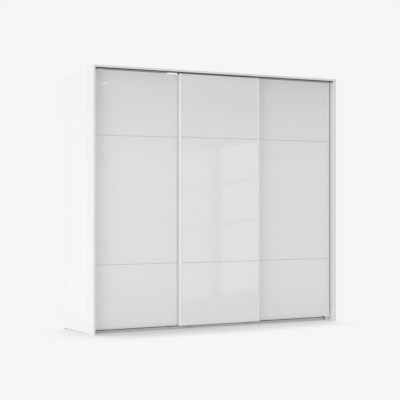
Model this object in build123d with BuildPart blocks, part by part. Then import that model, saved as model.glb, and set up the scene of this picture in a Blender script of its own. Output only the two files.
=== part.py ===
from build123d import *

import os

os.makedirs("parts", exist_ok=True)

# A sliding door wardrobe: a white board carcass with three compartments behind three
# top-hung doors, inside a surround frame. Millimetres. X runs left to right, Y from front
# to back and Z up, with the origin at the centre of the base.

# Overall size
width = 2340
height = 2120
depth = 630
front = -depth / 2
back = depth / 2

# Surround frame
surround_thick = 18
surround_depth = 125
fascia_thick = 15
fascia_height = 16
cover_thick = 4
visible_round = 1.5

# Carcass boards
upright_thick = 18
panel_thick = 16
back_thick = 3
joint_gap = 2
carcass_x = width / 2 - surround_thick
inner_x = carcass_x - upright_thick
carcass_front = front + 88
carcass_top = 2083
back_y = back - 18
foot_height = 4
plinth_gap = 2
bottom_level = 60
partition_x = 375
partition_left_span = (-partition_x - upright_thick / 2, -partition_x + upright_thick / 2)
partition_right_span = (partition_x - upright_thick / 2, partition_x + upright_thick / 2)
top_under = carcass_top - panel_thick

# Shelves and clothes rails
shelf_recess = 40
hat_shelf_level = 1750
middle_shelf_levels = (400, 780, 1160, 1540)
rail_tall = 30
rail_thin = 15
rail_wall = 1.5
rail_drop = 55
rail_y = 35
socket_rim = 12
socket_plate = 3
pin_y = (front + 170, back - 70)
pin_bore = 5
pin_depth = 8

# Doors
door_width = 770
door_bottom = 34
door_top = 2091
door_thick = 24
door_shift = 755
glass_thick = 4
front_lip = 1.5
rear_lip = 2.5
grip_width = 16
rear_grip = 12
web_thick = 3
trim_thick = 3
seam_gap = 2
lower_seam = 546.5
upper_seam = 1573
glass_edge = 0.5
hanger_offset = 315
guide_offset = 292

# Lanes of the doors, as the distance of each lane's centre behind the front
front_lane = front + 32
rear_lane = front + 68

# Running rail over the doors
rail_bottom = 2095
rail_top = 2116
rail_half = 1146
wall_thick = 2
rail_thick = 2.5
slot_half = 6
channel_half = 15
flange_reach = 64
wheel_radius = 7
wheel_width = 7
wheel_gap = 0.3
axle_radius = 2.5
running_clearance = 0.05
stop_start = 1097
stop_length = 20

# Guide rail on the floor
guide_left = -1132
guide_right = 1071
guide_bottom = 8
guide_top = 29
groove_floor = 12
groove_half = 3
fin_half = 2
fin_bottom = 13
front_fin = front + 50

# Fasteners
screw_shank = 4
screw_head = 8
screw_length = 32
countersink = 3.5
pan_length = 14
pan_height = 2.4
cam_radius = 7.5
cam_height = 12
cam_inset = 34
cam_bolt = 3
cam_bolt_lift = 8
cam_bolt_grip = 8
cam_y = (carcass_front + 60, back_y - 60)

low_aligned = (Align.CENTER, Align.CENTER, Align.MIN)


def block(x_span, y_span, z_span, mode=Mode.ADD):
    """A rectangular block between low and high X, Y and Z, in the sub-part being built."""
    spans = (x_span, y_span, z_span)
    middle = tuple((low + high) / 2 for low, high in spans)
    sizes = [high - low for low, high in spans]
    with Locations(middle):
        Box(*sizes, mode=mode)


def bar(start, direction, radius, length, mode=Mode.ADD):
    """A round bar, or a bore when it is subtracted, from a point along a direction."""
    with Locations(Plane(origin=start, z_dir=direction)):
        Cylinder(radius, length, align=low_aligned, mode=mode)


def save(piece, name):
    """Labels a finished sub-part and writes it to its own file."""
    piece.part.label = name
    export_step(piece.part, f"parts/{name}.step")


# Where the fasteners sit. The same shape makes a screw and cuts its hole.


def wood_screw(start, direction, mode=Mode.ADD):
    """A countersunk screw driven from a point on a surface."""
    with Locations(Plane(origin=start, z_dir=direction)):
        Cone(screw_head / 2, screw_shank / 2, countersink, align=low_aligned, mode=mode)
        Cylinder(screw_shank / 2, screw_length, align=low_aligned, mode=mode)


def pan_screw(start, mode=Mode.ADD):
    """A pan-head screw driven downwards, with its head standing on the surface point."""
    x, y, z = start
    bar((x, y, z + pan_height), (0, 0, -1), screw_shank / 2, pan_length, mode)
    bar((x, y, z), (0, 0, 1), screw_head / 2, pan_height, mode)


def cam_fitting(end_x, inward, y, under, mode=Mode.ADD):
    """A cam disc under a panel's end, and the bolt that it pulls out of the upright."""
    bar((end_x + inward * cam_inset, y, under), (0, 0, 1), cam_radius, cam_height, mode)
    bolt_start = (end_x - inward * cam_bolt_grip, y, under + cam_bolt_lift)
    bar(bolt_start, (inward, 0, 0), cam_bolt, cam_bolt_grip + cam_inset, mode)


frame_screw_levels = (250, 830, 1410, 1990)
frame_screw_y = front + 106
left_frame_screws = [(-inner_x, frame_screw_y, z) for z in frame_screw_levels]
right_frame_screws = [(inner_x, frame_screw_y, z) for z in frame_screw_levels]
top_screws = [(x, y, carcass_top) for x in (-partition_x, partition_x) for y in (0, 200)]

left_bay = (-inner_x, partition_left_span[0])
middle_bay = (partition_left_span[1], partition_right_span[0])
right_bay = (partition_right_span[1], inner_x)
bays = (left_bay, middle_bay, right_bay)


def cam_fittings_of(span, under, mode=Mode.ADD):
    """The four fittings of a panel that lies between two uprights."""
    for y in cam_y:
        cam_fitting(span[0], 1, y, under, mode)
        cam_fitting(span[1], -1, y, under, mode)


def bottom_cams(mode=Mode.ADD):
    """The fittings of the three bottom panels."""
    for bay in bays:
        cam_fittings_of(bay, bottom_level, mode)


# Shelf supports: a peg in the upright and a flat tongue under the shelf.
shelf_places = [(left_bay, hat_shelf_level), (right_bay, hat_shelf_level)]
shelf_places += [(middle_bay, level) for level in middle_shelf_levels]
tongue_thick = 1.5
tongue_reach = 10
tongue_half = 5
tongue_drop = 14


def pin_bores():
    """Blind bores for the pegs of every shelf support, cut in the upright being built."""
    for bay, level in shelf_places:
        for y in pin_y:
            z = level - tongue_drop / 2
            bar((bay[0] - pin_depth, y, z), (1, 0, 0), pin_bore / 2, pin_depth, Mode.SUBTRACT)
            bar((bay[1], y, z), (1, 0, 0), pin_bore / 2, pin_depth, Mode.SUBTRACT)


# Carcass uprights: two sides and two partitions.
uprights = {
    "side_left": ((-carcass_x, -inner_x), back, carcass_top),
    "side_right": ((inner_x, carcass_x), back, carcass_top),
    "partition_left": (partition_left_span, back_y, top_under),
    "partition_right": (partition_right_span, back_y, top_under),
}
for name, (x_span, rear, top) in uprights.items():
    with BuildPart() as upright:
        block(x_span, (carcass_front, rear), (foot_height, top))
        chamfer(upright.faces().sort_by(Axis.Y)[0].edges(), 0.5)
        pin_bores()
        bottom_cams(Mode.SUBTRACT)
        cam_fittings_of((-inner_x, inner_x), top_under, Mode.SUBTRACT)
        for point in left_frame_screws:
            wood_screw(point, (-1, 0, 0), Mode.SUBTRACT)
        for point in right_frame_screws:
            wood_screw(point, (1, 0, 0), Mode.SUBTRACT)
        for point in top_screws:
            wood_screw(point, (0, 0, -1), Mode.SUBTRACT)
    save(upright, name)

# Screws through the rail's flange and the wall brackets, into the top panel.
rail_screw_y = front + 130
rail_flange_thick = 3
rail_screw_x = [-1050 + 350 * n for n in range(7)]
rail_screw_points = [(x, rail_screw_y, carcass_top + rail_flange_thick) for x in rail_screw_x]
bracket_x = 560
bracket_half = 20
bracket_thick = 2
bracket_rise = 32
bracket_reach = 44
bracket_hole_z = carcass_top + 18
bracket_hole = 2.75
bracket_points = [(x, back_y - 11, carcass_top + bracket_thick) for x in (-bracket_x, bracket_x)]

# Top panel across all three compartments.
with BuildPart() as top_panel:
    block((-inner_x, inner_x), (carcass_front, back_y), (top_under, carcass_top))
    chamfer(top_panel.faces().sort_by(Axis.Y)[0].edges(), 0.5)
    cam_fittings_of((-inner_x, inner_x), top_under, Mode.SUBTRACT)
    for point in top_screws:
        wood_screw(point, (0, 0, -1), Mode.SUBTRACT)
    for point in rail_screw_points + bracket_points:
        pan_screw(point, Mode.SUBTRACT)
save(top_panel, "top_panel")

# Bottom panels, one in each compartment.
with BuildPart() as bottom_panels:
    for bay in bays:
        block(bay, (carcass_front, back_y), (bottom_level, bottom_level + panel_thick))
    bottom_cams(Mode.SUBTRACT)
save(bottom_panels, "bottom_panels")

# Plinth boards under the front and rear edges of the bottom panels.
with BuildPart() as plinth_rails:
    for bay in bays:
        for y in (carcass_front, back_y - panel_thick):
            block(bay, (y, y + panel_thick), (plinth_gap, bottom_level))
save(plinth_rails, "plinth_rails")

# Thin back panels, and the T-shaped strips that join them behind the partitions.
seams_x = (-partition_x, partition_x)
back_edges = (
    (-inner_x, -partition_x - joint_gap / 2),
    (-partition_x + joint_gap / 2, partition_x - joint_gap / 2),
    (partition_x + joint_gap / 2, inner_x),
)
with BuildPart() as back_panels:
    for x_span in back_edges:
        block(x_span, (back_y, back_y + back_thick), (foot_height, carcass_top))
save(back_panels, "back_panels")

joiner_half = 10
joiner_thick = 1.5
with BuildPart() as back_joiners:
    for x in seams_x:
        web = (x - joint_gap / 2, x + joint_gap / 2)
        flange_y = back_y + back_thick
        block(web, (back_y, flange_y), (foot_height, carcass_top))
        flange = (x - joiner_half, x + joiner_half)
        block(flange, (flange_y, flange_y + joiner_thick), (foot_height, carcass_top))
save(back_joiners, "back_joiners")

# Shelves that lie loose on their supports.
shelf_y = (carcass_front + shelf_recess, back_y)
side_play = 0.5


def shelf(bay, level):
    """A loose shelf between two uprights, with its front edge softened."""
    span = (bay[0] + side_play, bay[1] - side_play)
    block(span, shelf_y, (level, level + panel_thick))


with BuildPart() as hat_shelves:
    for bay, level in shelf_places[:2]:
        shelf(bay, level)
    chamfer(hat_shelves.faces().group_by(Axis.Y)[0].edges(), 0.5)
save(hat_shelves, "hat_shelves")

with BuildPart() as middle_shelves:
    for bay, level in shelf_places[2:]:
        shelf(bay, level)
    chamfer(middle_shelves.faces().group_by(Axis.Y)[0].edges(), 0.5)
save(middle_shelves, "middle_shelves")

with BuildPart() as shelf_pins:
    for bay, level in shelf_places:
        for y in pin_y:
            for wall_x, inward in ((bay[0], 1), (bay[1], -1)):
                reach = sorted((wall_x, wall_x + inward * tongue_reach))
                plate = sorted((wall_x, wall_x + inward * tongue_thick))
                y_span = (y - tongue_half, y + tongue_half)
                block(reach, y_span, (level - tongue_thick, level))
                block(plate, y_span, (level - tongue_drop, level))
                peg_start = (wall_x - inward * pin_depth, y, level - tongue_drop / 2)
                peg_radius = pin_bore / 2 - running_clearance
                bar(peg_start, (inward, 0, 0), peg_radius, pin_depth + tongue_thick)
save(shelf_pins, "shelf_pins")

# Oval clothes rails under the hat shelves, each held between two open-topped sockets.
clothes_level = hat_shelf_level - rail_drop
with BuildPart() as clothes_rails:
    for bay in (left_bay, right_bay):
        start = bay[0] + socket_plate
        with BuildSketch(Plane.YZ.offset(start)):
            with Locations((rail_y, clothes_level)):
                SlotOverall(rail_tall, rail_thin, rotation=90)
                inner_tall = rail_tall - 2 * rail_wall
                SlotOverall(inner_tall, rail_thin - 2 * rail_wall, rotation=90, mode=Mode.SUBTRACT)
        extrude(amount=bay[1] - bay[0] - 2 * socket_plate)
save(clothes_rails, "clothes_rails")

rim_thick = 3
with BuildPart() as rail_sockets:
    for bay in (left_bay, right_bay):
        for wall_x, inward in ((bay[0], 1), (bay[1], -1)):
            face = Plane(origin=(wall_x, rail_y, clothes_level), x_dir=(0, 1, 0), z_dir=(inward, 0, 0))
            with BuildSketch(face):
                SlotOverall(rail_tall + 4 * rim_thick, rail_thin + 4 * rim_thick, rotation=90)
            extrude(amount=socket_plate)
            with BuildSketch(face.offset(socket_plate)):
                SlotOverall(rail_tall + 2 * rim_thick, rail_thin + 2 * rim_thick, rotation=90)
                SlotOverall(rail_tall, rail_thin, rotation=90, mode=Mode.SUBTRACT)
            extrude(amount=socket_rim)
            mouth_x = sorted((wall_x + inward * socket_plate, wall_x + inward * 20))
            mouth_y = (rail_y - rail_thin / 2, rail_y + rail_thin / 2)
            mouth_z = (clothes_level, clothes_level + rail_tall)
            block(mouth_x, mouth_y, mouth_z, Mode.SUBTRACT)
save(rail_sockets, "rail_sockets")

# Surround frame: two deep strips beside the carcass and a shallow head between them.
strip_sides = {"frame_left": -1, "frame_right": 1}
strip_y = (front, front + surround_depth)
for name, side in strip_sides.items():
    with BuildPart() as strip:
        block(sorted((side * carcass_x, side * width / 2)), strip_y, (0, height))
        strip_front = strip.faces().sort_by(Axis.Y)[0]
        fillet(strip_front.edges().filter_by(Axis.Z), visible_round)
        screws = left_frame_screws if side < 0 else right_frame_screws
        for point in screws:
            wood_screw(point, (side, 0, 0), Mode.SUBTRACT)
    save(strip, name)

with BuildPart() as frame_top_fascia:
    fascia_y = (front, front + fascia_thick)
    block((-carcass_x, carcass_x), fascia_y, (height - fascia_height, height))
    fascia_front = frame_top_fascia.faces().sort_by(Axis.Y)[0]
    fillet(fascia_front.edges().filter_by(Axis.X), visible_round)
save(frame_top_fascia, "frame_top_fascia")

with BuildPart() as frame_top_cover:
    cover_y = (front + fascia_thick, front + surround_depth)
    block((-carcass_x, carcass_x), cover_y, (height - cover_thick, height))
save(frame_top_cover, "frame_top_cover")

# Angle brackets in the frame's upper corners, behind the rail and under the cover.
corner_y = (front + 92, front + 120)
corner_reach = 36
corner_low = rail_top - 26
with BuildPart() as frame_brackets:
    for side in (-1, 1):
        leg_x = sorted((side * carcass_x, side * (carcass_x - bracket_thick)))
        arm_x = sorted((side * carcass_x, side * (carcass_x - corner_reach)))
        block(leg_x, corner_y, (corner_low, rail_top))
        block(arm_x, corner_y, (rail_top - bracket_thick, rail_top))
save(frame_brackets, "frame_brackets")

with BuildPart() as wood_screws:
    for point in left_frame_screws:
        wood_screw(point, (-1, 0, 0))
    for point in right_frame_screws:
        wood_screw(point, (1, 0, 0))
    for point in top_screws:
        wood_screw(point, (0, 0, -1))
save(wood_screws, "wood_screws")

# Running rail: one extrusion with a channel over each lane and a flange on the top panel.
web_y = (front_lane + channel_half, rear_lane - channel_half)
rail_rear = rear_lane + channel_half
lip_top = rail_bottom + rail_thick


def rail_strip(y_span, z_span):
    """One straight wall of the rail's cross-section, in the sketch being drawn."""
    with Locations(((y_span[0] + y_span[1]) / 2, (z_span[0] + z_span[1]) / 2)):
        Rectangle(y_span[1] - y_span[0], z_span[1] - z_span[0])


with BuildPart() as running_rail:
    with BuildSketch(Plane.YZ.offset(-rail_half)):
        rail_front = front + fascia_thick
        rail_back = rail_rear + rail_flange_thick
        rail_strip((rail_front, rail_back), (rail_top - rail_thick, rail_top))
        rail_strip((rail_front, rail_front + wall_thick), (rail_bottom, rail_top))
        rail_strip(web_y, (rail_bottom, rail_top))
        rail_strip((rail_rear, rail_back), (carcass_top, rail_top))
        for lane in (front_lane, rear_lane):
            rail_strip((lane - channel_half, lane - slot_half), (rail_bottom, lip_top))
            rail_strip((lane + slot_half, lane + channel_half), (rail_bottom, lip_top))
        flange_z = (carcass_top, carcass_top + rail_flange_thick)
        rail_strip((rail_back, rail_back + flange_reach), flange_z)
    extrude(amount=2 * rail_half)
    for point in rail_screw_points:
        pan_screw(point, Mode.SUBTRACT)
save(running_rail, "running_rail")

# Wall brackets behind the top panel, with a hole each for a wall screw.
with BuildPart() as wall_brackets:
    for x in (-bracket_x, bracket_x):
        x_span = (x - bracket_half, x + bracket_half)
        flat_z = (carcass_top, carcass_top + bracket_thick)
        block(x_span, (back - bracket_reach, back), flat_z)
        block(x_span, (back - bracket_thick, back), (carcass_top, carcass_top + bracket_rise))
        hole_start = (x, back - bracket_thick, bracket_hole_z)
        bar(hole_start, (0, 1, 0), bracket_hole, bracket_thick, Mode.SUBTRACT)
    for point in bracket_points:
        pan_screw(point, Mode.SUBTRACT)
save(wall_brackets, "wall_brackets")

with BuildPart() as pan_screws:
    for point in rail_screw_points + bracket_points:
        pan_screw(point)
save(pan_screws, "pan_screws")

with BuildPart() as cam_fittings:
    bottom_cams()
    cam_fittings_of((-inner_x, inner_x), top_under)
save(cam_fittings, "cam_fittings")

# Buffers that the carriages meet at both ends of each channel.
buffer_half = channel_half - 1
with BuildPart() as rail_stops:
    for lane in (front_lane, rear_lane):
        for side in (-1, 1):
            x_span = sorted((side * stop_start, side * (stop_start + stop_length)))
            y_span = (lane - buffer_half, lane + buffer_half)
            block(x_span, y_span, (lip_top, rail_top - rail_thick))
save(rail_stops, "rail_stops")

# Guide rail in front of the plinth, with one groove for the middle door's fins and one for
# the outer doors' fins. Black stops close its ends, and the right one has a raised nose.
with BuildPart() as guide_rail:
    guide_y = (front + 42, carcass_front)
    block((guide_left, guide_right), guide_y, (guide_bottom, guide_top))
    fillet(guide_rail.edges().filter_by(Axis.X).sort_by(Axis.Y)[:2].sort_by(Axis.Z)[-1], 1.5)
    for groove in (front_fin, rear_lane):
        groove_y = (groove - groove_half, groove + groove_half)
        block((guide_left, guide_right), groove_y, (groove_floor, guide_top), Mode.SUBTRACT)
save(guide_rail, "guide_rail")

end_stop_thick = 9
end_stop_top = door_bottom - 2
nose_y = (front + 46, front + 54)
nose_top = door_bottom + 6
with BuildPart() as guide_rail_stops:
    end_x = (guide_right, guide_right + end_stop_thick)
    block(end_x, guide_y, (guide_bottom, end_stop_top))
    block(end_x, nose_y, (guide_bottom, nose_top))
    for groove in (front_fin, rear_lane):
        groove_y = (groove - groove_half, groove + groove_half)
        plug_x = (-stop_start - stop_length, -stop_start)
        block(plug_x, groove_y, (groove_floor, guide_top))
save(guide_rail_stops, "guide_rail_stops")

# Glides under the uprights, two each.
glide_half = (8, 20)
with BuildPart() as glides:
    for x in (-carcass_x + 9, -partition_x, partition_x, carcass_x - 9):
        for y in (front + 130, back - 60):
            x_span = (x - glide_half[0], x + glide_half[0])
            y_span = (y - glide_half[1], y + glide_half[1])
            block(x_span, y_span, (0, foot_height))
save(glides, "glides")

# Doors: three panes of back-painted glass on a board, between full-height edge profiles.
# The middle door runs in the front lane and the two outer doors in the rear lane.
doors = {
    "left_door": (-door_shift, rear_lane, rear_lane),
    "middle_door": (0, front_lane, front_fin),
    "right_door": (door_shift, rear_lane, rear_lane),
}
glass_spans = {
    "glass_bottom": (door_bottom + trim_thick, lower_seam - seam_gap / 2),
    "glass_middle": (lower_seam + seam_gap / 2, upper_seam - seam_gap / 2),
    "glass_top": (upper_seam + seam_gap / 2, door_top - trim_thick),
}
plate_half = (30, 9)
plate_thick = 2
stem_radius = 4
carriage_half = (25, 5)
carriage_z = (2100, 2111)
wheel_z = lip_top + wheel_gap + wheel_radius
tread_start = slot_half
guide_half = 20
guide_plate = 2
guide_arm_low = 30

for door, (door_x, lane, fin_y) in doors.items():
    half = door_width / 2
    door_front = lane - door_thick / 2
    pane_y = (door_front + front_lip, door_front + front_lip + glass_thick)
    board_y = (pane_y[1], door_front + door_thick - rear_lip)
    panel_x = (door_x - half + web_thick, door_x + half - web_thick)
    hanger_x = (door_x - hanger_offset, door_x + hanger_offset)

    with BuildPart() as door_board:
        block(panel_x, board_y, (door_bottom + trim_thick, door_top - trim_thick))
    save(door_board, f"{door}_board")

    for pane, z_span in glass_spans.items():
        with BuildPart() as glass:
            block(panel_x, pane_y, z_span)
            chamfer(glass.faces().sort_by(Axis.Y)[0].edges(), glass_edge)
        save(glass, f"{door}_{pane}")

    with BuildPart() as edge_profiles:
        with BuildSketch(Plane.XY.offset(door_bottom)):
            for side in (-1, 1):
                outer = door_x + side * half
                lip_x = outer - side * grip_width
                web_x = outer - side * web_thick
                rear_x = outer - side * rear_grip
                door_back = door_front + door_thick
                with BuildLine():
                    Polyline(
                        (outer, door_front),
                        (lip_x, door_front),
                        (lip_x, pane_y[0]),
                        (web_x, pane_y[0]),
                        (web_x, board_y[1]),
                        (rear_x, board_y[1]),
                        (rear_x, door_back),
                        (outer, door_back),
                        close=True,
                    )
                make_face()
        extrude(amount=door_top - door_bottom)
        front_edges = edge_profiles.edges().filter_by(Axis.Z).group_by(Axis.Y)[0].sort_by(Axis.X)
        rear_edges = edge_profiles.edges().filter_by(Axis.Z).group_by(Axis.Y)[-1].sort_by(Axis.X)
        fillet(front_edges[1:3], 0.6)
        fillet([front_edges[0], front_edges[-1], rear_edges[0], rear_edges[-1]], 2.5)
    save(edge_profiles, f"{door}_edge_profiles")

    with BuildPart() as end_trims:
        trim_y = (pane_y[0], board_y[1])
        block(panel_x, trim_y, (door_bottom, door_bottom + trim_thick))
        block(panel_x, trim_y, (door_top - trim_thick, door_top))
    save(end_trims, f"{door}_end_trims")

    with BuildPart() as hangers:
        for x in hanger_x:
            plate_x = (x - plate_half[0], x + plate_half[0])
            plate_y = (lane - plate_half[1], lane + plate_half[1])
            block(plate_x, plate_y, (door_top, door_top + plate_thick))
            bar((x, lane, door_top), (0, 0, 1), stem_radius, carriage_z[1] - door_top - 4)
            block_x = (x - carriage_half[0], x + carriage_half[0])
            block_y = (lane - carriage_half[1], lane + carriage_half[1])
            block(block_x, block_y, carriage_z)
            bore_start = (x, lane - carriage_half[1], wheel_z)
            bore_radius = axle_radius + running_clearance
            bar(bore_start, (0, 1, 0), bore_radius, 2 * carriage_half[1], Mode.SUBTRACT)
    save(hangers, f"{door}_hangers")

    for place, x in zip(("left", "right"), hanger_x):
        with BuildPart() as rollers:
            axle_half = tread_start + wheel_width
            bar((x, lane - axle_half, wheel_z), (0, 1, 0), axle_radius, 2 * axle_half)
            for wheel_y in (lane - axle_half, lane + tread_start):
                bar((x, wheel_y, wheel_z), (0, 1, 0), wheel_radius, wheel_width)
        save(rollers, f"{door}_rollers_{place}")

    with BuildPart() as guides:
        for x in (door_x - guide_offset, door_x + guide_offset):
            x_span = (x - guide_half, x + guide_half)
            plate_y = (lane - plate_half[1], lane + plate_half[1])
            fin_span = (fin_y - fin_half, fin_y + fin_half)
            arm_y = (lane - plate_half[1], fin_span[1])
            block(x_span, plate_y, (door_bottom - guide_plate, door_bottom))
            block(x_span, arm_y, (guide_arm_low, door_bottom - guide_plate))
            block(x_span, fin_span, (fin_bottom, guide_arm_low))
    save(guides, f"{door}_guides")

# A white cap hooked over the left door's top edge, in front of its right-hand hanger.
cap_x = (-door_shift + hanger_offset - 46, -door_shift + hanger_offset + 46)
cap_thick = 5
cap_drop = 5
cap_rise = 3
left_door_front = rear_lane - door_thick / 2
hook_y = (left_door_front, rear_lane - plate_half[1])
cap_top = door_top + cap_rise
with BuildPart() as hanger_cap:
    block(cap_x, (left_door_front - cap_thick, left_door_front), (door_top - cap_drop, cap_top))
    block(cap_x, hook_y, (door_top, cap_top))
    fillet(hanger_cap.faces().sort_by(Axis.Y)[0].edges(), 0.8)
save(hanger_cap, "left_door_hanger_cap")
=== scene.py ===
import math

import bmesh
import bpy
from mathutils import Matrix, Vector


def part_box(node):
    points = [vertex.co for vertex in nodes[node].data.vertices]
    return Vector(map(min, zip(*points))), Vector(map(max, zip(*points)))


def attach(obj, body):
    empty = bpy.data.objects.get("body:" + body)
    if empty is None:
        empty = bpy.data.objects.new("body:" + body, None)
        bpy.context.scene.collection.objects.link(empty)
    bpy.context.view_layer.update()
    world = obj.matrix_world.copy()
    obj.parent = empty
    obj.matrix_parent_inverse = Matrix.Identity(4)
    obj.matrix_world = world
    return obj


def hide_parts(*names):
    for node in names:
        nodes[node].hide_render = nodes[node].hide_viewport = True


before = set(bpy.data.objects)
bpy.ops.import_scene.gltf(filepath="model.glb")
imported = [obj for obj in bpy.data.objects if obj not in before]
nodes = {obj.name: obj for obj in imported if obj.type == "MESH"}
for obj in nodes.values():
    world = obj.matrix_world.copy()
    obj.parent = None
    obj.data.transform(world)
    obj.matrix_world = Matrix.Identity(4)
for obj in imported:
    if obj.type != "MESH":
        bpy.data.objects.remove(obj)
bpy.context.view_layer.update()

# The carcass boards: two sides, two partitions, a top, three bottoms and the plinth under
# them. Chipboard faced with white melamine, which has a faint pearl texture, its front edges
# closed with a glued band that shows as a fine line.
board_white = (0.857, 0.857, 0.851)
band_line_depth = 0.0012
band_line_width = 0.0002


def new_finish(name, colour, roughness, metallic=0.0):
    """A material with its main shader set, and the place on the piece as a first node."""
    made = bpy.data.materials.new(name)
    made.use_nodes = True
    shader = made.node_tree.nodes["Principled BSDF"]
    shader.inputs["Base Color"].default_value = (*colour, 1.0)
    shader.inputs["Roughness"].default_value = roughness
    shader.inputs["Metallic"].default_value = metallic
    place = made.node_tree.nodes.new("ShaderNodeTexCoord")
    return made, shader, place.outputs["Object"]


def grain(made, place, stretch, scale, detail=2.0):
    """A noise that follows the piece, stretched along its axes. Returns its value."""
    tree = made.node_tree
    mapping = tree.nodes.new("ShaderNodeMapping")
    mapping.inputs["Scale"].default_value = stretch
    noise = tree.nodes.new("ShaderNodeTexNoise")
    noise.inputs["Scale"].default_value = scale
    noise.inputs["Detail"].default_value = detail
    tree.links.new(place, mapping.inputs["Vector"])
    tree.links.new(mapping.outputs["Vector"], noise.inputs["Vector"])
    return noise.outputs["Fac"]


def spread(made, value, low, high):
    """Widens the middle of a noise to a range from low to high. Returns its value."""
    between = made.node_tree.nodes.new("ShaderNodeMapRange")
    between.inputs["From Min"].default_value = 0.3
    between.inputs["From Max"].default_value = 0.7
    between.inputs["To Min"].default_value = low
    between.inputs["To Max"].default_value = high
    made.node_tree.links.new(value, between.inputs["Value"])
    return between.outputs["Result"]


def vary_roughness(made, shader, value, low, high):
    """Lets a noise move the roughness between two values."""
    made.node_tree.links.new(spread(made, value, low, high), shader.inputs["Roughness"])


def tint(made, value, first, second):
    """Mixes two colours by a value from 0 to 1 and returns the mixed colour."""
    tree = made.node_tree
    mixer = tree.nodes.new("ShaderNodeMix")
    mixer.data_type = "RGBA"
    for socket, colour in (("A", first), ("B", second)):
        target = [s for s in mixer.inputs if s.name == socket and s.type == "RGBA"][0]
        if isinstance(colour, tuple):
            target.default_value = (*colour, 1.0)
        else:
            tree.links.new(colour, target)
    tree.links.new(value, mixer.inputs["Factor"])
    return [s for s in mixer.outputs if s.type == "RGBA"][0]


def relief(made, value, shader, depth, strength=1.0):
    """Raises the surface by a value, with the depth in metres."""
    tree = made.node_tree
    bump = tree.nodes.new("ShaderNodeBump")
    bump.inputs["Distance"].default_value = depth
    bump.inputs["Strength"].default_value = strength
    tree.links.new(value, bump.inputs["Height"])
    tree.links.new(bump.outputs["Normal"], shader.inputs["Normal"])
    return bump


def part_of(made, vector, axis):
    """One part of a vector, named X, Y or Z."""
    parts = made.node_tree.nodes.new("ShaderNodeSeparateXYZ")
    made.node_tree.links.new(vector, parts.inputs["Vector"])
    return parts.outputs[axis]


def compared(made, value, operation, limit):
    """A value of 1 where another value passes a comparison with a limit, and 0 elsewhere."""
    test = made.node_tree.nodes.new("ShaderNodeMath")
    test.operation = operation
    test.inputs[1].default_value = limit
    made.node_tree.links.new(value, test.inputs[0])
    return test.outputs["Value"]


def facing(made, normal):
    """The named normal of the surface, turned into the piece's own axes."""
    tree = made.node_tree
    geometry = tree.nodes.new("ShaderNodeNewGeometry")
    turned = tree.nodes.new("ShaderNodeVectorTransform")
    turned.vector_type = "NORMAL"
    turned.convert_from = "WORLD"
    turned.convert_to = "OBJECT"
    tree.links.new(geometry.outputs[normal], turned.inputs["Vector"])
    return turned.outputs["Vector"]


def wear(node_names, made):
    """Gives a finish to CAD nodes."""
    for name in node_names:
        mesh = nodes[name].data
        mesh.materials.clear()
        mesh.materials.append(made)


def melamine(name, colour, front_y):
    """White melamine board whose edge band starts at the board's front face."""
    made, shader, place = new_finish(name, colour, 0.4)
    cloud = grain(made, place, (1, 1, 1), 2.5)
    soft = spread(made, cloud, 0.0, 1.0)
    darker = tuple(0.985 * c for c in colour)
    clouded = tint(made, soft, darker, colour)
    line = compared(made, part_of(made, place, "Y"), "COMPARE", front_y + band_line_depth)
    line.node.inputs[2].default_value = band_line_width
    banded = tint(made, line, clouded, tuple(0.62 * c for c in colour))
    made.node_tree.links.new(banded, shader.inputs["Base Color"])
    pearl = grain(made, place, (1, 1, 1), 1400.0, 3.0)
    relief(made, pearl, shader, 0.00004)
    vary_roughness(made, shader, grain(made, place, (1, 1, 1), 16.0), 0.34, 0.44)
    return made


carcass_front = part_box("side_left")[0].y
board_finish = melamine("white_board", board_white, carcass_front)
wear(("side_left", "side_right", "partition_left", "partition_right"), board_finish)
wear(("top_panel", "bottom_panels", "plinth_rails"), board_finish)

# The back: three thin fibreboard panels, printed white inside and left as pale pressed
# fibre behind, joined at the partitions by white plastic strips.
fibre_pale = (0.66, 0.615, 0.545)
fibre_dark = (0.56, 0.51, 0.44)
back_white = (0.84, 0.84, 0.83)

back_finish, shader, place = new_finish("printed_fibreboard", back_white, 0.6)
fibres = grain(back_finish, place, (1, 1, 0.35), 420.0, 4.0)
fibre_share = spread(back_finish, fibres, 0.0, 1.0)
raw = tint(back_finish, fibre_share, fibre_dark, fibre_pale)
rearward = part_of(back_finish, facing(back_finish, "Normal"), "Y")
rear = compared(back_finish, rearward, "GREATER_THAN", 0.5)
two_sided = tint(back_finish, rear, back_white, raw)
back_finish.node_tree.links.new(two_sided, shader.inputs["Base Color"])
relief(back_finish, fibres, shader, 0.0001)
wear(("back_panels",), back_finish)


def moulded(name, colour, roughness, pitch=900.0, depth=0.00005):
    """Moulded plastic with a fine spark-eroded texture."""
    made, shader, place = new_finish(name, colour, roughness)
    texture = grain(made, place, (1, 1, 1), pitch, 2.0)
    relief(made, texture, shader, depth)
    shade = spread(made, grain(made, place, (1, 1, 1), 30.0), 0.0, 1.0)
    dull = tuple(0.93 * c for c in colour)
    made.node_tree.links.new(tint(made, shade, dull, colour), shader.inputs["Base Color"])
    low, high = roughness - 0.05, roughness + 0.05
    vary_roughness(made, shader, grain(made, place, (1, 1, 1), 55.0), low, high)
    return made


white_moulding = moulded("white_moulding", (0.85, 0.85, 0.84), 0.42)
wear(("back_joiners",), white_moulding)

# The shelves: loose melamine boards with a banded front edge, set back from the doors.
shelf_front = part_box("middle_shelves")[0].y
wear(("hat_shelves", "middle_shelves"), melamine("white_shelf", board_white, shelf_front))

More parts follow.
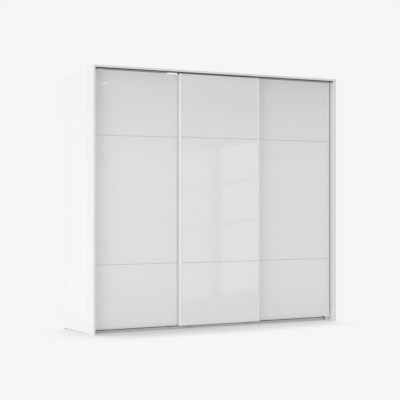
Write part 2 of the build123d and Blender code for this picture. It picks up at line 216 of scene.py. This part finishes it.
# The clothes rails: oval chromed tube, a little smudged, resting in zinc-plated sockets.
chrome, shader, place = new_finish("chromed_tube", (0.78, 0.79, 0.8), 0.08, 1.0)
smudges = grain(chrome, place, (0.4, 1, 1), 28.0, 3.0)
vary_roughness(chrome, shader, smudges, 0.05, 0.16)
relief(chrome, grain(chrome, place, (0.02, 1, 1), 900.0), shader, 0.000004)
wear(("clothes_rails",), chrome)


def plated(name, colour, roughness):
    """Zinc-plated steel: a soft mottled shine with fine scratches."""
    made, shader, place = new_finish(name, colour, roughness, 1.0)
    shade = spread(made, grain(made, place, (1, 1, 1), 120.0), 0.0, 1.0)
    warm = (0.92 * colour[0], 0.9 * colour[1], 0.84 * colour[2])
    made.node_tree.links.new(tint(made, shade, warm, colour), shader.inputs["Base Color"])
    low, high = roughness - 0.08, roughness + 0.1
    vary_roughness(made, shader, grain(made, place, (1, 1, 1), 260.0), low, high)
    relief(made, grain(made, place, (0.1, 1, 1), 2200.0), shader, 0.00001)
    return made


zinc = plated("zinc_plate", (0.62, 0.63, 0.64), 0.34)
wear(("rail_sockets", "shelf_pins", "cam_fittings", "wall_brackets", "frame_brackets"), zinc)

# The surround frame: two deep side strips, a shallow head fascia and a thin cover on top.
# Fibreboard wrapped in satin white foil, smoother than the carcass boards.
frame_white = (0.822, 0.822, 0.817)
frame_finish, shader, place = new_finish("satin_foil", frame_white, 0.34)
cloud = grain(frame_finish, place, (1, 1, 0.3), 3.0)
shade = spread(frame_finish, cloud, 0.0, 1.0)
clouded = tint(frame_finish, shade, tuple(0.985 * c for c in frame_white), frame_white)
frame_finish.node_tree.links.new(clouded, shader.inputs["Base Color"])
ripple = grain(frame_finish, place, (1, 1, 0.25), 650.0, 3.0)
relief(frame_finish, ripple, shader, 0.00002)
vary_roughness(frame_finish, shader, grain(frame_finish, place, (1, 1, 1), 11.0), 0.29, 0.38)
wear(("frame_left", "frame_right", "frame_top_fascia", "frame_top_cover"), frame_finish)

# The screws: zinc-plated steel with a pressed cross recess. Countersunk ones hold the frame to
# the sides and the top panel to the partitions, pan-headed ones the rail and wall brackets.
turns = 32
recess_turns = 3
head_radius = 0.004
recess_radius = 0.55 * head_radius
recess_middle = 0.0005
recess_depth = 0.0013
countersunk = ((0.0, 0.0), (0.0011, 0.0), (0.0022, 0.0), (0.0037, 0.0), (0.004, 0.0003))
countersunk += ((0.002, 0.0034), (0.002, 0.029), (0.0, 0.032))
pan_headed = ((0.0, -0.0024), (0.0011, -0.0024), (0.0021, -0.00235), (0.0032, -0.0019), (0.004, -0.0006))
pan_headed += ((0.004, 0.0), (0.002, 0.0), (0.002, 0.0095), (0.0, 0.0116))


def turned_rings(mesh_edit, profile, start, direction, recess=False):
    """Turns a profile of (radius, distance along) about a line and returns its rings."""
    spin = direction.to_track_quat("Z", "Y").to_matrix()
    rings = []
    for radius, along in profile:
        ring = []
        for step in range(turns):
            angle = 2 * math.pi * step / turns
            sink = 0.0
            quarter = step % (turns // 4)
            near_arm = min(quarter, turns // 4 - quarter) < recess_turns - 1
            in_recess = radius < recess_radius and (near_arm or radius < recess_middle)
            if recess and along <= 0.0 and in_recess:
                sink = recess_depth * (1.0 - radius / head_radius)
            flat = Vector((radius * math.cos(angle), radius * math.sin(angle), along + sink))
            ring.append(mesh_edit.verts.new(start + spin @ flat))
        rings.append(ring)
    for first, second in zip(rings, rings[1:]):
        for step in range(turns):
            after = (step + 1) % turns
            mesh_edit.faces.new((first[step], first[after], second[after], second[step]))
    return rings


def finished_piece(name, mesh_edit, finishes, body):
    """Closes a mesh into a smooth-shaded piece that rides on a body."""
    bmesh.ops.remove_doubles(mesh_edit, verts=mesh_edit.verts, dist=0.000002)
    bmesh.ops.recalc_face_normals(mesh_edit, faces=mesh_edit.faces)
    mesh = bpy.data.meshes.new(name)
    mesh_edit.to_mesh(mesh)
    mesh_edit.free()
    for made in finishes:
        mesh.materials.append(made)
    piece = bpy.data.objects.new(name, mesh)
    bpy.context.scene.collection.objects.link(piece)
    mesh.shade_smooth()
    mesh.set_sharp_from_angle(angle=math.radians(35))
    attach(piece, body)
    return piece


inner_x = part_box("bottom_panels")[1].x
top_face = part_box("top_panel")[1].z
front_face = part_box("frame_left")[0].y
rear_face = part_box("back_panels")[0].y
screws = bmesh.new()
for level in (0.25, 0.83, 1.41, 1.99):
    for side in (-1, 1):
        start = Vector((side * inner_x, front_face + 0.106, level))
        turned_rings(screws, countersunk, start, Vector((side, 0, 0)), True)
for x in (-0.375, 0.375):
    for y in (0.0, 0.2):
        turned_rings(screws, countersunk, Vector((x, y, top_face)), Vector((0, 0, -1)), True)
piece = finished_piece("countersunk_screws", screws, (zinc,), "cabinet")
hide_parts("wood_screws")

screws = bmesh.new()
pan_places = [Vector((-1.05 + 0.35 * n, front_face + 0.13, top_face + 0.003)) for n in range(7)]
pan_places += [Vector((x, rear_face - 0.011, top_face + 0.002)) for x in (-0.56, 0.56)]
for start in pan_places:
    turned_rings(screws, pan_headed, start, Vector((0, 0, -1)), True)
piece = finished_piece("pan_headed_screws", screws, (zinc,), "cabinet")
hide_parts("pan_screws")

# The running rail over the doors: one anodised aluminium extrusion with drawing lines along its
# length, screwed down on the top panel by its rear flange. Its front face is coloured near-black:
# painted shade standing in for the shaded gap above the doors.


def extruded(name, colour, roughness):
    """Anodised aluminium with the fine lines of the extrusion die along X."""
    made, shader, place = new_finish(name, colour, roughness, 1.0)
    lines = grain(made, place, (0.004, 1, 1), 1500.0, 3.0)
    relief(made, lines, shader, 0.00002)
    low, high = roughness - 0.07, roughness + 0.07
    vary_roughness(made, shader, grain(made, place, (0.02, 1, 1), 160.0), low, high)
    shade = spread(made, grain(made, place, (0.05, 1, 1), 40.0), 0.0, 1.0)
    dull = tuple(0.88 * c for c in colour)
    made.node_tree.links.new(tint(made, shade, dull, colour), shader.inputs["Base Color"])
    return made


face_depth = 0.0006
rail_finish = extruded("rail_with_painted_shade_face", (0.8, 0.8, 0.805), 0.38)
tree = rail_finish.node_tree
shader = tree.nodes["Principled BSDF"]
bright = shader.inputs["Base Color"].links[0].from_socket
place = tree.nodes.new("ShaderNodeTexCoord").outputs["Object"]
# Mask of the rail's front face, which is given the near-black painted shade.
face_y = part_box("running_rail")[0].y + face_depth
face = compared(rail_finish, part_of(rail_finish, place, "Y"), "LESS_THAN", face_y)
painted_shade_face = tint(rail_finish, face, bright, (0.1, 0.1, 0.105))
tree.links.new(painted_shade_face, shader.inputs["Base Color"])
wear(("running_rail",), rail_finish)

# The rail's buffers: black rubber blocks pressed into both ends of each channel.
wear(("rail_stops",), moulded("black_rubber", (0.03, 0.03, 0.03), 0.75, 500.0, 0.0001))

# The guide rail in front of the plinth: satin grey aluminium with two grooves, and black
# plastic stops at its ends. The uprights stand on black plastic glides.
guide_finish = extruded("satin_anodised", (0.5, 0.5, 0.498), 0.45)
guide_finish.node_tree.nodes["Principled BSDF"].inputs["Metallic"].default_value = 0.25
wear(("guide_rail",), guide_finish)
black_moulding = moulded("black_moulding", (0.028, 0.028, 0.03), 0.5)
wear(("guide_rail_stops", "glides"), black_moulding)

# The doors: three panes of white back-painted float glass on a white board. The paint shows
# through the glass, whose polished edges are pale green.
doors = ("left_door", "middle_door", "right_door")
paint_white = (0.845, 0.848, 0.842)
edge_green = (0.62, 0.74, 0.69)

glass, shader, place = new_finish("back_painted_glass", paint_white, 0.035)
shader.inputs["IOR"].default_value = 1.52
shader.inputs["Coat Weight"].default_value = 1.0
shader.inputs["Coat Roughness"].default_value = 0.01
shader.inputs["Coat IOR"].default_value = 1.52
cloud = grain(glass, place, (1, 1, 0.6), 1.8)
shade = spread(glass, cloud, 0.0, 1.0)
painted = tint(glass, shade, tuple(0.99 * c for c in paint_white), paint_white)
flat = glass.node_tree.nodes.new("ShaderNodeMath")
flat.operation = "ABSOLUTE"
along_y = part_of(glass, facing(glass, "True Normal"), "Y")
glass.node_tree.links.new(along_y, flat.inputs[0])
edge = compared(glass, flat.outputs["Value"], "LESS_THAN", 0.9)
edged = tint(glass, edge, painted, edge_green)
glass.node_tree.links.new(edged, shader.inputs["Base Color"])
relief(glass, grain(glass, place, (1, 1, 0.5), 3.2, 1.0), shader, 0.0004, 0.35)
door_board_finish = melamine("door_board_white", (0.8, 0.795, 0.78), 0.0)
for door in doors:
    panes = [f"{door}_glass_{part}" for part in ("top", "middle", "bottom")]
    wear(panes, glass)
    wear((f"{door}_board",), door_board_finish)

# The doors' edge profiles and end trims: aluminium powder-coated satin white, with the fine
# speckle of the powder.
profile_white = (0.875, 0.875, 0.868)
powder, shader, place = new_finish("white_powder_coat", profile_white, 0.38)
relief(powder, grain(powder, place, (1, 1, 1), 1100.0, 2.0), shader, 0.00003)
vary_roughness(powder, shader, grain(powder, place, (1, 1, 0.2), 24.0), 0.33, 0.43)
shade = spread(powder, grain(powder, place, (1, 1, 0.2), 5.0), 0.0, 1.0)
coated = tint(powder, shade, tuple(0.985 * c for c in profile_white), profile_white)
powder.node_tree.links.new(coated, shader.inputs["Base Color"])
for door in doors:
    wear((f"{door}_edge_profiles", f"{door}_end_trims"), powder)

# The seams between the panes: a grey sealing bead in each gap, its rounded face set a little
# behind the glass.
seam_grey = (0.3, 0.3, 0.295)
bead = moulded("seam_bead", seam_grey, 0.55)
bead_steps = 8
bead_recess = 0.0009
bead_bulge = 0.0004
for door in doors:
    beads = bmesh.new()
    panes = [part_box(f"{door}_glass_{part}") for part in ("bottom", "middle", "top")]
    for lower, upper in zip(panes, panes[1:]):
        left, right = lower[0].x, lower[1].x
        low, high = lower[1].z, upper[0].z
        face, rear = lower[0].y + bead_recess, lower[1].y
        outline = [(rear, high), (rear, low)]
        for step in range(bead_steps + 1):
            angle = math.pi * step / bead_steps
            sunk = bead_bulge * (1.0 - math.sin(angle))
            level = (low + high) / 2 - (high - low) / 2 * math.cos(angle)
            outline.append((face + sunk, level))
        ends = [[beads.verts.new((x, y, z)) for y, z in outline] for x in (left, right)]
        for end in ends:
            beads.faces.new(end)
        for step in range(len(outline)):
            after = (step + 1) % len(outline)
            beads.faces.new((ends[0][step], ends[0][after], ends[1][after], ends[1][step]))
    finished_piece(f"{door}_seam_beads", beads, (bead,), door)

# The hangers, rollers and floor guides of each door: a zinc-plated carriage with a pair of
# nylon wheels on a steel axle, and black plastic fins that run in the guide rail. The left
# door has a bright white cap over its right-hand hanger.
nylon = moulded("roller_nylon", (0.72, 0.715, 0.69), 0.45)
axle_steel = plated("axle_steel", (0.55, 0.55, 0.56), 0.25)
axle_reach = 0.0033
wheel_half = ((0.0, 0.0006), (0.0021, 0.0006), (0.0025, 0.001), (0.0032, 0.001), (0.0034, 0.0004))
wheel_half += ((0.0052, 0.0004), (0.0056, 0.0), (0.0064, 0.0), (0.0069, 0.0004), (0.007, 0.0011))
wheel_half += ((0.007, 0.0059), (0.0069, 0.0066), (0.0064, 0.007), (0.004, 0.007), (0.0036, 0.0064))
wheel_half += ((0.0025, 0.0064),)
for door in doors:
    wear((f"{door}_hangers",), zinc)
    wear((f"{door}_guides",), black_moulding)
    for side in ("left", "right"):
        node = f"{door}_rollers_{side}"
        low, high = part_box(node)
        length = high.y - low.y
        rollers = bmesh.new()
        profile = list(wheel_half) + [(radius, length - along) for radius, along in reversed(wheel_half)]
        start = Vector(((low.x + high.x) / 2, low.y, (low.z + high.z) / 2))
        turned_rings(rollers, profile, start, Vector((0, 1, 0)))
        centre_line = Vector((start.x, 0, start.z))
        for face in rollers.faces:
            middle = face.calc_center_median()
            away = (Vector((middle.x, 0, middle.z)) - centre_line).length
            face.material_index = 1 if away < axle_reach else 0
        piece = finished_piece(f"{node}_turned", rollers, (nylon, axle_steel), node)
        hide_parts(node)
cap_white = moulded("bright_white_cap", (0.98, 0.98, 0.975), 0.25)
wear(("left_door_hanger_cap",), cap_white)

# The studio: a pale floor that glows rather than being lit, with a soft shadow painted into
# its glow where the wardrobe stands on it, an even pale backdrop, a large soft lamp at the front
# left and a softer glow from above. Light that the floor sends back carries only half the painted
# shadow.
studio_white = 0.9216
floor_reach = 60.0
shade_reach = 0.52
shade_starts = 0.306
shade_ends = 0.95
shade_deepest = 0.627
even_share = 0.5

floor_mesh = bpy.data.meshes.new("studio_floor")
corners = [(-floor_reach, -floor_reach, 0), (floor_reach, -floor_reach, 0)]
corners += [(floor_reach, floor_reach, 0), (-floor_reach, floor_reach, 0)]
floor_mesh.from_pydata(corners, [], [(0, 1, 2, 3)])
floor = bpy.data.objects.new("studio_floor", floor_mesh)
bpy.context.scene.collection.objects.link(floor)
floor_finish = bpy.data.materials.new("studio_floor")
floor_finish.use_nodes = True
tree = floor_finish.node_tree
tree.nodes.clear()
glow = tree.nodes.new("ShaderNodeEmission")
# Painted shadow: ambient occlusion, leaned backwards and more to the right towards the right side,
# darkens the floor's glow near the wardrobe.
shelter = tree.nodes.new("ShaderNodeAmbientOcclusion")
shelter.inputs["Distance"].default_value = shade_reach
shelter.samples = 16
lean = tree.nodes.new("ShaderNodeCombineXYZ")
lean.inputs["Y"].default_value = 0.62
lean.inputs["Z"].default_value = 0.75
place = tree.nodes.new("ShaderNodeTexCoord")
parts = tree.nodes.new("ShaderNodeSeparateXYZ")
tree.links.new(place.outputs["Object"], parts.inputs["Vector"])
across = tree.nodes.new("ShaderNodeMapRange")
for socket, value in (("From Min", -1.2), ("From Max", 1.2), ("To Min", -0.3), ("To Max", 1.1)):
    across.inputs[socket].default_value = value
tree.links.new(parts.outputs["X"], across.inputs["Value"])
tree.links.new(across.outputs["Result"], lean.inputs["X"])
tree.links.new(lean.outputs["Vector"], shelter.inputs["Normal"])
floor_painted_shadow = tree.nodes.new("ShaderNodeMapRange")
floor_painted_shadow.inputs["From Min"].default_value = shade_starts
floor_painted_shadow.inputs["From Max"].default_value = shade_ends
floor_painted_shadow.inputs["To Min"].default_value = shade_deepest * studio_white
floor_painted_shadow.inputs["To Max"].default_value = studio_white
tree.links.new(shelter.outputs["AO"], floor_painted_shadow.inputs["Value"])
bounce = tree.nodes.new("ShaderNodeLightPath")
part_even = tree.nodes.new("ShaderNodeMath")
part_even.operation = "MULTIPLY"
part_even.inputs[1].default_value = even_share
even = tree.nodes.new("ShaderNodeMix")
even.data_type = "FLOAT"
even.inputs[3].default_value = studio_white
tree.links.new(bounce.outputs["Is Diffuse Ray"], part_even.inputs[0])
tree.links.new(part_even.outputs["Value"], even.inputs[0])
tree.links.new(floor_painted_shadow.outputs["Result"], even.inputs[2])
tree.links.new(even.outputs[0], glow.inputs["Color"])
out = tree.nodes.new("ShaderNodeOutputMaterial")
tree.links.new(glow.outputs["Emission"], out.inputs["Surface"])
floor_mesh.materials.append(floor_finish)

world = bpy.data.worlds.new("studio")
bpy.context.scene.world = world
world.use_nodes = True
tree = world.node_tree
tree.nodes.clear()
sky_even = 0.36
sky_overhead = 1.5
direction = tree.nodes.new("ShaderNodeTexCoord")
parts = tree.nodes.new("ShaderNodeSeparateXYZ")
tree.links.new(direction.outputs["Generated"], parts.inputs["Vector"])
height_share = tree.nodes.new("ShaderNodeMath")
height_share.operation = "POWER"
height_share.inputs[1].default_value = 4.0
tree.links.new(parts.outputs["Z"], height_share.inputs[0])
sky_level = tree.nodes.new("ShaderNodeMath")
sky_level.operation = "MULTIPLY_ADD"
sky_level.inputs[1].default_value = sky_overhead
sky_level.inputs[2].default_value = sky_even
tree.links.new(height_share.outputs["Value"], sky_level.inputs[0])
rays = tree.nodes.new("ShaderNodeLightPath")
seen = tree.nodes.new("ShaderNodeMix")
seen.data_type = "FLOAT"
tree.links.new(rays.outputs["Is Camera Ray"], seen.inputs[0])
tree.links.new(sky_level.outputs["Value"], seen.inputs[2])
seen.inputs[3].default_value = studio_white
backdrop = tree.nodes.new("ShaderNodeBackground")
backdrop.inputs["Color"].default_value = (1.0, 1.0, 1.0, 1.0)
tree.links.new(seen.outputs[0], backdrop.inputs["Strength"])
out = tree.nodes.new("ShaderNodeOutputWorld")
tree.links.new(backdrop.outputs["Background"], out.inputs["Surface"])
bpy.context.scene.view_settings.view_transform = "Standard"

lamp_turn = math.radians(72)
lamp_away = 7.0
lamp_size = 3.4
lamp_power = 172.0
lamp_data = bpy.data.lights.new("studio_lamp", "AREA")
lamp_data.shape = "SQUARE"
lamp_data.size = lamp_size
lamp_data.energy = lamp_power
lamp = bpy.data.objects.new("studio_lamp", lamp_data)
lamp_side = Vector((-math.sin(lamp_turn), -math.cos(lamp_turn), 0.1))
lamp.location = Vector((0.0, 0.0, 1.1)) + lamp_away * lamp_side
lamp.rotation_euler = lamp_side.to_track_quat("Z", "Y").to_euler()
lamp.visible_glossy = False
bpy.context.scene.collection.objects.link(lamp)

# A small lamp that lights only the white cap, which the rail above it would leave in shade.
cap_lamp_power = 66.0
cap_lamp_radius = 0.15
cap_lamp_from_cap = Vector((-0.9, -1.5, -0.3))
cap_low, cap_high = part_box("left_door_hanger_cap")
cap_lamp_data = bpy.data.lights.new("cap_lamp", "POINT")
cap_lamp_data.energy = cap_lamp_power
cap_lamp_data.shadow_soft_size = cap_lamp_radius
cap_lamp = bpy.data.objects.new("cap_lamp", cap_lamp_data)
cap_lamp.location = (cap_low + cap_high) / 2 + cap_lamp_from_cap
bpy.context.scene.collection.objects.link(cap_lamp)
cap_only = bpy.data.collections.new("lit_by_cap_lamp")
cap_only.objects.link(nodes["left_door_hanger_cap"])
cap_lamp.light_linking.receiver_collection = cap_only

# Cards that only glossy surfaces show: a pale wall opposite the doors, a window in it with a
# brighter right leaf, and one small lamp near the ceiling.
card_line = Vector((0.5, -0.866, 0.0))
card_right = Vector((0.866, 0.5, 0.0))
card_start = Vector((-5.129, 8.25, 1.06))


def card(name, away, right, rise, glow_level, top_level=None, slope=0.0):
    """A glowing card at a distance, between two shares of it to the right and two heights."""
    mesh = bpy.data.meshes.new(name)
    middle = card_start + away * card_line
    points = []
    for share, level in ((0, 0), (1, 0), (1, 1), (0, 1)):
        side = away * right[share] * card_right
        lift = rise[level] - card_start.z + slope * away * (right[share] - right[0])
        points.append(middle + side + Vector((0.0, 0.0, lift)))
    mesh.from_pydata([tuple(point) for point in points], [], [(0, 1, 2, 3)])
    finish = bpy.data.materials.new(name)
    finish.use_nodes = True
    finish.node_tree.nodes.clear()
    shine = finish.node_tree.nodes.new("ShaderNodeEmission")
    shine.inputs["Color"].default_value = (1.0, 1.0, 1.0, 1.0)
    shine.inputs["Strength"].default_value = glow_level
    if top_level is not None:
        place = finish.node_tree.nodes.new("ShaderNodeTexCoord")
        parts = finish.node_tree.nodes.new("ShaderNodeSeparateXYZ")
        fade = finish.node_tree.nodes.new("ShaderNodeMapRange")
        fade.inputs["From Min"].default_value = rise[0]
        fade.inputs["From Max"].default_value = rise[1]
        fade.inputs["To Min"].default_value = glow_level
        fade.inputs["To Max"].default_value = top_level
        finish.node_tree.links.new(place.outputs["Object"], parts.inputs["Vector"])
        finish.node_tree.links.new(parts.outputs["Z"], fade.inputs["Value"])
        finish.node_tree.links.new(fade.outputs["Result"], shine.inputs["Strength"])
    surface = finish.node_tree.nodes.new("ShaderNodeOutputMaterial")
    finish.node_tree.links.new(shine.outputs["Emission"], surface.inputs["Surface"])
    mesh.materials.append(finish)
    made = bpy.data.objects.new(name, mesh)
    made.visible_camera = False
    made.visible_diffuse = False
    made.visible_shadow = False
    made.visible_transmission = False
    bpy.context.scene.collection.objects.link(made)


card("wall_card", 14.0, (-0.5, 0.5), (0.0, 1.45), 1.0)
card("wall_card_upper", 14.0, (-0.5, 0.5), (1.45, 2.1), 1.0, 0.5)
window_away = 12.5
window_slope = 0.17
left_leaf_drop = 0.079
# two bars part each leaf of the window into three lights
for low, high in ((0.08, 0.785), (0.825, 1.205), (1.245, 1.605)):
    card("window_right", window_away, (0.0183, 0.048), (low, high), 1.45, slope=window_slope)
    left_rise = (low - left_leaf_drop, high - left_leaf_drop)
    card("window_left", window_away, (-0.019, 0.0083), left_rise, 1.25, slope=window_slope)
card("ceiling_lamp", window_away, (-0.0791, -0.0741), (2.268, 2.297), 1.9)

# The camera: level, at the middle of the wardrobe's height, thirty degrees to its left.
camera_turn = math.radians(30)
camera_away = 10.2
aim = Vector((-0.029, -0.004, 1.06))
back = Vector((-math.sin(camera_turn), -math.cos(camera_turn), 0.0))
lens = bpy.data.cameras.new("studio_camera")
lens.lens = 107.9
camera = bpy.data.objects.new("studio_camera", lens)
camera.location = aim + camera_away * back
camera.rotation_euler = back.to_track_quat("Z", "Y").to_euler()
bpy.context.scene.collection.objects.link(camera)
bpy.context.scene.camera = camera
